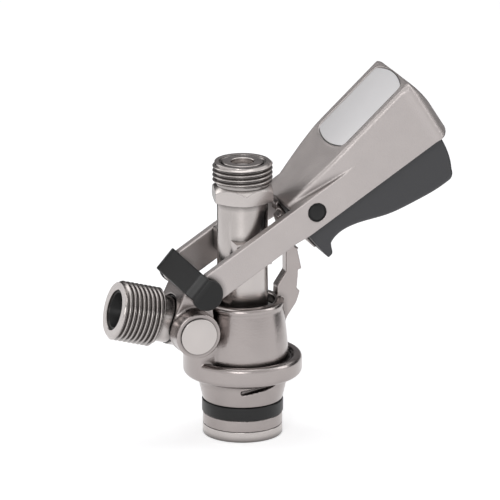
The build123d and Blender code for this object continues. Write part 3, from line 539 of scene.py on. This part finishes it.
def bead(points, radius, sides=10):
    """A closed tube along a closed loop of points in the label's plane."""
    form = bmesh.new()
    rings = []
    for index, (along, across) in enumerate(points):
        before, after = points[index - 1], points[(index + 1) % len(points)]
        heading = math.atan2(after[1] - before[1], after[0] - before[0])
        ring = []
        for side in range(sides):
            turn = math.tau * side / sides
            out = radius * math.cos(turn)
            here = label_middle + (
                label_along * (along - out * math.sin(heading))
                + Vector((0.0, 1.0, 0.0)) * (across + out * math.cos(heading))
                + label_up * (radius * math.sin(turn))
            ) * MM
            ring.append(form.verts.new(here))
        rings.append(ring)
    for ring, following in zip(rings, rings[1:] + rings[:1]):
        for side in range(sides):
            after = (side + 1) % sides
            form.faces.new((ring[side], ring[after], following[after], following[side]))
    bmesh.ops.recalc_face_normals(form, faces=form.faces)
    return form


print("points round the label:", len(label_outline(0.0)))

# %% Lever
hood_corner = 9.0
lever_voxel = 0.34
bead_margin = 0.75
bead_radius = 0.42
top_margin = 0.01

joints = {joint["name"]: joint for joint in frame["joints"]}
hinge_place = Vector(joints["lever_swing"]["pos_m"])
lever_along = Vector((math.cos(lever_angle), 0.0, math.sin(lever_angle)))
lever_half_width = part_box("lever_casting")[1].y / MM
lever_shell = joined_copy("lever_casting", "lever_shell")
lever_end = max((vertex.co - hinge_place).dot(lever_along) for vertex in lever_shell.data.vertices) / MM
regrain(lever_shell, lever_voxel)
settle(lever_shell)
draw_corners(
    lever_shell, hinge_place, lever_along, lever_end, lever_half_width, hood_corner,
    lambda beyond, aside: min(1.0, hood_corner / math.hypot(beyond, aside)),
)
rim = bead(label_outline(bead_margin), bead_radius)
rim.from_mesh(lever_shell.data)
rim.to_mesh(lever_shell.data)
rim.free()
soften(lever_shell, "lever_casting", lever_voxel, rounds=3, keep=0.40)

# The bead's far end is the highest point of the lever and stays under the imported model's top.
for vertex in lever_shell.data.vertices:
    vertex.co.z = min(vertex.co.z, cad_bounds[1][2] - top_margin * MM)

# %% [markdown]
# ### The strap over the hinge
# The strap is one moulding: a round cheek over each end of the hinge pin and a band behind the
# post. The band runs into the cheeks in a curve. The copy is remeshed first, so that its corners
# have enough points, and then each square corner is drawn round.

# %% Hinge strap
strap_direction = math.radians(138.6)
strap_corner = 4.6
strap_reach = 6.0

strap_out = Vector((math.cos(strap_direction), 0.0, math.sin(strap_direction)))
strap_half_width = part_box("hinge_cover")[1].y / MM
strap = joined_copy("hinge_cover", "hinge_strap")
regrain(strap, 0.25)
settle(strap)
draw_corners(
    strap, hinge_place, strap_out, strap_reach, strap_half_width, strap_corner,
    lambda beyond, aside: max(beyond, aside) / math.hypot(beyond, aside),
)
soften(strap, "hinge_cover", voxel=0.22, rounds=4, keep=0.45)

# %% [markdown]
# ## Turned and cut pieces
# The probe tube, the rings and the plug come off a lathe. Their edges are only broken, so a
# narrow bevel gives the thin bright line that such an edge has.

# %% Turned pieces
for node, width in (
    ("probe_tube", 0.25),
    ("retaining_ring", 0.25),
    ("port_plug", 0.25),
    ("outlet_seat_ring", 0.10),
    ("label_plate", 0.20),
    ("pawl_plate", 0.10),
    ("collar_bush", 0.20),
    ("neck_seal", 0.15),
):
    bevelled_copy(node, node + "_finished", width)

# %% [markdown]
# ## Threads
# Both hose connections carry a 5/8 inch parallel pipe thread: 14 threads to the inch with a
# rounded form. A thread follows a rule, so a small Geometry Nodes tree makes it. The tree works
# out how far round and how far along each point lies, and draws it in to the thread's surface
# where it stands outside it. Points inside the root, such as those of the bore, stay as they are.


# %% Turned blank
POLE = 0.012                # points nearer than this on the axis become one


def span(start, end, count):
    """Evenly spaced values, both ends included."""
    return [start + (end - start) * step / count for step in range(count + 1)]


def turned_blank(name, rows, steps, turn=0.0):
    """A closed shape turned round Z. A row is a height and a radius, or a radius for each angle."""
    form = bmesh.new()
    rings = []
    for height, radius in rows:
        ring = []
        for step in range(steps):
            angle = turn + math.tau * step / steps
            reach = radius(angle) if callable(radius) else radius
            place = Vector((math.cos(angle) * reach, math.sin(angle) * reach, height))
            ring.append(form.verts.new(place * MM))
        rings.append(ring)
    for ring, following in zip(rings, rings[1:] + rings[:1]):
        for step in range(steps):
            after = (step + 1) % steps
            form.faces.new((ring[step], ring[after], following[after], following[step]))
    bmesh.ops.remove_doubles(form, verts=form.verts, dist=POLE * MM)
    loose = [edge for edge in form.edges if not edge.link_faces]
    bmesh.ops.delete(form, geom=loose, context="EDGES")
    bmesh.ops.recalc_face_normals(form, faces=form.faces)
    mesh = bpy.data.meshes.new(name)
    form.to_mesh(mesh)
    form.free()
    piece = bpy.data.objects.new(name, mesh)
    bpy.context.scene.collection.objects.link(piece)
    return piece


# %% Thread tree
def thread_tree():
    """Geometry Nodes that cut a right-handed rounded thread into a turned blank round Z."""
    tree = bpy.data.node_groups.new("cut_thread", "GeometryNodeTree")
    sockets = tree.interface
    sockets.new_socket("Geometry", in_out="INPUT", socket_type="NodeSocketGeometry")
    for name in ("Pitch", "Crest Radius", "Depth", "Start"):
        sockets.new_socket(name, in_out="INPUT", socket_type="NodeSocketFloat")
    sockets.new_socket("Finish", in_out="INPUT", socket_type="NodeSocketMaterial")
    sockets.new_socket("Geometry", in_out="OUTPUT", socket_type="NodeSocketGeometry")
    nodes, links = tree.nodes, tree.links
    given = nodes.new("NodeGroupInput").outputs
    result = nodes.new("NodeGroupOutput")

    def calc(operation, *values):
        step = nodes.new("ShaderNodeMath")
        step.operation = operation
        for socket, value in zip(step.inputs, values):
            if isinstance(value, float):
                socket.default_value = value
            else:
                links.new(value, socket)
        return step.outputs[0]

    place = nodes.new("GeometryNodeInputPosition")
    split = nodes.new("ShaderNodeSeparateXYZ")
    links.new(place.outputs[0], split.inputs[0])
    x, y, z = split.outputs
    radius = calc("SQRT", calc("ADD", calc("MULTIPLY", x, x), calc("MULTIPLY", y, y)))
    turns = calc("DIVIDE", calc("ARCTAN2", y, x), math.tau)
    pitches = calc("DIVIDE", calc("SUBTRACT", z, given["Start"]), given["Pitch"])
    wave = calc("COSINE", calc("MULTIPLY", calc("SUBTRACT", pitches, turns), math.tau))
    cut = calc("MULTIPLY", calc("MULTIPLY", calc("SUBTRACT", 1.0, wave), 0.5), given["Depth"])
    surface = calc("SUBTRACT", given["Crest Radius"], cut)
    share = calc("DIVIDE", calc("MINIMUM", radius, surface), radius)
    threaded = calc("GREATER_THAN", z, given["Start"])
    scale = calc("ADD", calc("MULTIPLY", calc("SUBTRACT", share, 1.0), threaded), 1.0)
    moved = nodes.new("ShaderNodeCombineXYZ")
    links.new(calc("MULTIPLY", x, scale), moved.inputs[0])
    links.new(calc("MULTIPLY", y, scale), moved.inputs[1])
    links.new(z, moved.inputs[2])
    setter = nodes.new("GeometryNodeSetPosition")
    links.new(given["Geometry"], setter.inputs["Geometry"])
    links.new(moved.outputs[0], setter.inputs["Position"])
    realized = nodes.new("GeometryNodeRealizeInstances")
    links.new(setter.outputs[0], realized.inputs[0])
    painted = nodes.new("GeometryNodeSetMaterial")
    links.new(realized.outputs[0], painted.inputs["Geometry"])
    links.new(given["Finish"], painted.inputs["Material"])
    links.new(painted.outputs[0], result.inputs[0])
    return tree


THREAD_TREE = thread_tree()
print("thread tree has", len(THREAD_TREE.nodes), "nodes")

# %% Thread cutter
THREAD_PITCH = 25.4 / 14
THREAD_DEPTH = 0.64 * THREAD_PITCH
ROWS_PER_PITCH = 14
THREAD_STEPS = 192


def thread_rows(start, end, length):
    """Heights close enough together to carry the thread over a length."""
    return span(start, end, int(length / THREAD_PITCH * ROWS_PER_PITCH))


def cut_thread(piece, crest_radius, start, node):
    """Runs the thread tree on a blank and keeps the plain mesh."""
    modifier = piece.modifiers.new("thread", "NODES")
    modifier.node_group = THREAD_TREE
    values = {
        "Pitch": THREAD_PITCH * MM,
        "Crest Radius": crest_radius * MM,
        "Depth": THREAD_DEPTH * MM,
        "Start": start * MM,
        "Finish": FINISHES[slot_of[node]],
    }
    for item in THREAD_TREE.interface.items_tree:
        if item.in_out == "INPUT" and item.name in values:
            modifier[item.identifier] = values[item.name]
    settle(piece)


def smooth_thread(piece, place, low, high):
    """Clears the sharp marks on the thread, whose crests turn more than a flat's edge does."""
    along = place.inverted()
    inside = [low * MM < (along @ vertex.co).z < high * MM for vertex in piece.data.vertices]
    for edge in piece.data.edges:
        if inside[edge.vertices[0]] and inside[edge.vertices[1]]:
            edge.use_edge_sharp = False


mounts = {mount["name"]: mount for mount in frame["record"]["mounts"]}
print("thread pitch", round(THREAD_PITCH, 3), "mm, depth", round(THREAD_DEPTH, 3), "mm")

# %% [markdown]
# ### The gas stem
# The stem is turned round its own axis, with Z out of the mouth, and then laid on the axis of
# the gas inlet. The profile runs down the outside from the mouth and back up the bore.

# %% Gas stem
gas = mounts["gas_inlet"]
gas_axis = Vector(gas["axis"]).normalized()
gas_crest = gas["dims"]["r_mm"]
gas_thread_length = 16.9
gas_chamfer = (gas_thread_length - gas["dims"]["length_mm"]) / 2
gas_pipe_radius = 8.9
gas_pipe_end = 22.5
gas_spigot_radius = 6.3
gas_stem_length = 28.2
gas_mouth_radius = 7.65
gas_mouth_depth = 12.0
gas_way_radius = 4.2
gas_shoulder = 0.5
gas_heights = thread_rows(-gas_chamfer, -gas_thread_length + gas_shoulder, gas_thread_length)
gas_rows = [
    (0.0, gas_mouth_radius + 0.3),
    (0.0, gas_mouth_radius + 0.4),
    (0.0, gas_crest - gas_chamfer - 0.2),
    (0.0, gas_crest - gas_chamfer - 0.1),
    (-0.1, gas_crest - gas_chamfer),
]
gas_rows += [(height, gas_crest) for height in gas_heights]
gas_rows += [
    (-gas_thread_length + 0.1, gas_crest - THREAD_DEPTH),
    (-gas_thread_length, gas_crest - THREAD_DEPTH - 0.1),
    (-gas_thread_length - 0.1, gas_pipe_radius),
    (-gas_pipe_end + 0.1, gas_pipe_radius),
    (-gas_pipe_end, gas_pipe_radius - 0.1),
    (-gas_pipe_end, gas_spigot_radius),
    (-gas_stem_length, gas_spigot_radius),
    (-gas_stem_length, gas_way_radius),
    (-gas_mouth_depth, gas_way_radius),
    (-gas_mouth_depth, gas_mouth_radius),
    (-0.4, gas_mouth_radius),
    (-0.3, gas_mouth_radius),
]
gas_stem = turned_blank("gas_stem_threaded", gas_rows, THREAD_STEPS)
cut_thread(gas_stem, gas_crest, -gas_thread_length, "gas_stem")
gas_mouth = Vector(gas["pos_m"]) + gas_axis * (gas_thread_length / 2 * MM)
gas_place = Matrix.Translation(gas_mouth) @ gas_axis.to_track_quat("Z", "Y").to_matrix().to_4x4()
gas_stem.data.transform(gas_place)
take_over(gas_stem, "gas_stem", 30.0)
smooth_thread(gas_stem, gas_place, -gas_thread_length, -gas_chamfer / 2)

# %% [markdown]
# A rubber valve lines the mouth and ends in two lips further in, so the mouth looks black. It
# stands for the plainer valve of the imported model, whose collar sits at the foot of the bore.

# %% Rubber valve in the mouth
valve_top = 1.0
valve_fit = 0.05
valve_wall = 0.85
valve_rows = [
    (-valve_top, gas_mouth_radius - valve_fit - valve_wall),
    (-valve_top, gas_mouth_radius - valve_fit),
    (-gas_mouth_depth + valve_fit, gas_mouth_radius - valve_fit),
    (-gas_mouth_depth + valve_fit, gas_way_radius - 0.1),
    (-gas_mouth_depth - 1.5, gas_way_radius - 0.1),
    (-gas_mouth_depth - 5.0, 0.8),
    (-gas_mouth_depth - 5.0, 0.0),
    (-gas_mouth_depth - 3.8, 0.0),
    (-gas_mouth_depth + 1.0, gas_way_radius - 1.2),
    (-gas_mouth_depth + 5.0, gas_mouth_radius - 2.4),
]
gas_valve = turned_blank("gas_valve_liner", valve_rows, 96)
gas_valve.data.transform(gas_place)
take_over(gas_valve, "gas_check_valve", 30.0)

# %% [markdown]
# ### The outlet nipple
# The hexagon is chamfered on the lathe before its flats are milled, which leaves the round arcs
# on its corners. Its radius at each angle is the smaller of the flat's and the chamfer's.

# %% Outlet nipple
beer = mounts["beer_outlet"]
beer_crest = beer["dims"]["r_mm"]
nipple_low, nipple_high = (corner.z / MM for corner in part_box("outlet_nipple"))
hexagon_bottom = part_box("probe_tube")[1].z / MM
hexagon_top = hexagon_bottom + 6.2
hexagon_reach = 11.0
hexagon_turn = math.radians(30.0 - 12.2)
hexagon_chamfer = 2.2       # height of the upper chamfer
hexagon_break = 0.5         # height of the lower one
relief_top = hexagon_top + 1.0
relief_radius = 10.2
beer_bore_radius = 4.45
seat_radius, seat_depth = 7.8, 2.4
groove_radius, groove_depth = 8.95, 0.7
spigot_radius = 7.4
beer_chamfer = 0.8


def hexagon(cap):
    """Radius of the hexagon at an angle, no larger than the chamfer's."""
    def radius(angle):
        from_flat = (angle - hexagon_turn) % math.radians(60.0) - math.radians(30.0)
        return min(hexagon_reach / math.cos(from_flat), cap)
    return radius


nipple_rows = [
    (nipple_low, beer_bore_radius),
    (nipple_low, spigot_radius),
    (hexagon_bottom, spigot_radius),
    (hexagon_bottom, spigot_radius + 0.1),
    (hexagon_bottom, hexagon_reach - 0.5),
]
for rise in span(0.0, 1.0, 4):
    height = hexagon_bottom + hexagon_break * rise
    nipple_rows.append((height, hexagon(hexagon_reach - 0.4 + 2.2 * rise)))
for rise in span(0.0, 1.0, 16):
    height = hexagon_top - hexagon_chamfer * (1 - rise)
    nipple_rows.append((height, hexagon(hexagon_reach + 1.8 - 2.4 * rise)))
nipple_rows += [
    (hexagon_top, relief_radius + 0.1),
    (hexagon_top, relief_radius),
    (relief_top - 0.1, relief_radius),
]
beer_heights = thread_rows(relief_top, nipple_high - beer_chamfer, nipple_high - relief_top)
nipple_rows += [(height, beer_crest) for height in beer_heights]
nipple_rows += [
    (nipple_high - 0.1, beer_crest - beer_chamfer),
    (nipple_high, beer_crest - beer_chamfer - 0.1),
    (nipple_high, beer_crest - beer_chamfer - 0.2),
    (nipple_high, groove_radius + 0.2),
    (nipple_high, groove_radius + 0.1),
    (nipple_high - 0.1, groove_radius),
    (nipple_high - groove_depth, groove_radius),
    (nipple_high - groove_depth, seat_radius),
    (nipple_high - seat_depth, seat_radius),
    (nipple_high - seat_depth, beer_bore_radius),
]
outlet_nipple = turned_blank("outlet_nipple_threaded", nipple_rows, THREAD_STEPS, hexagon_turn)
cut_thread(outlet_nipple, beer_crest, relief_top - 0.05, "outlet_nipple")
take_over(outlet_nipple, "outlet_nipple", 25.0)
smooth_thread(outlet_nipple, Matrix.Identity(4), relief_top, nipple_high - beer_chamfer / 2)

# %% [markdown]
# ## Caps of the trigger pin
# A round plastic cap closes each end of the trigger's pin. It has a flat face inside a fine
# groove, which reads as a dark ring round the cap.

# %% Pin caps
cap_radius = 3.45
cap_groove = (2.95, 3.15)
cap_groove_depth = 0.35
cap_low, cap_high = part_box("pin_caps")
cap_height = 1.5
pin_place = joints["trigger_squeeze"]["pos_m"]
cap_rows = [
    (0.0, 0.0),
    (0.0, cap_radius),
    (cap_height - 0.2, cap_radius),
    (cap_height - 0.05, cap_radius - 0.15),
    (cap_height - 0.05, cap_groove[1]),
    (cap_height - cap_groove_depth, cap_groove[1] - 0.05),
    (cap_height - cap_groove_depth, cap_groove[0]),
    (cap_height - 0.1, cap_groove[0]),
    (cap_height, cap_groove[0] - 0.15),
    (cap_height, 0.0),
]
caps = bmesh.new()
for side, face_y in ((-1, cap_low.y), (1, cap_high.y)):
    blank = turned_blank("cap", cap_rows, 64)
    turn = Vector((0, side, 0)).to_track_quat("Z", "X").to_matrix().to_4x4()
    seat = Vector((pin_place[0], face_y - side * cap_height * MM, pin_place[2]))
    blank.data.transform(Matrix.Translation(seat) @ turn)
    caps.from_mesh(blank.data)
    bpy.data.objects.remove(blank)
cap_mesh = bpy.data.meshes.new("pin_cap_pair")
caps.to_mesh(cap_mesh)
caps.free()
cap_pair = bpy.data.objects.new("pin_cap_pair", cap_mesh)
bpy.context.scene.collection.objects.link(cap_pair)
take_over(cap_pair, "pin_caps", 40.0)
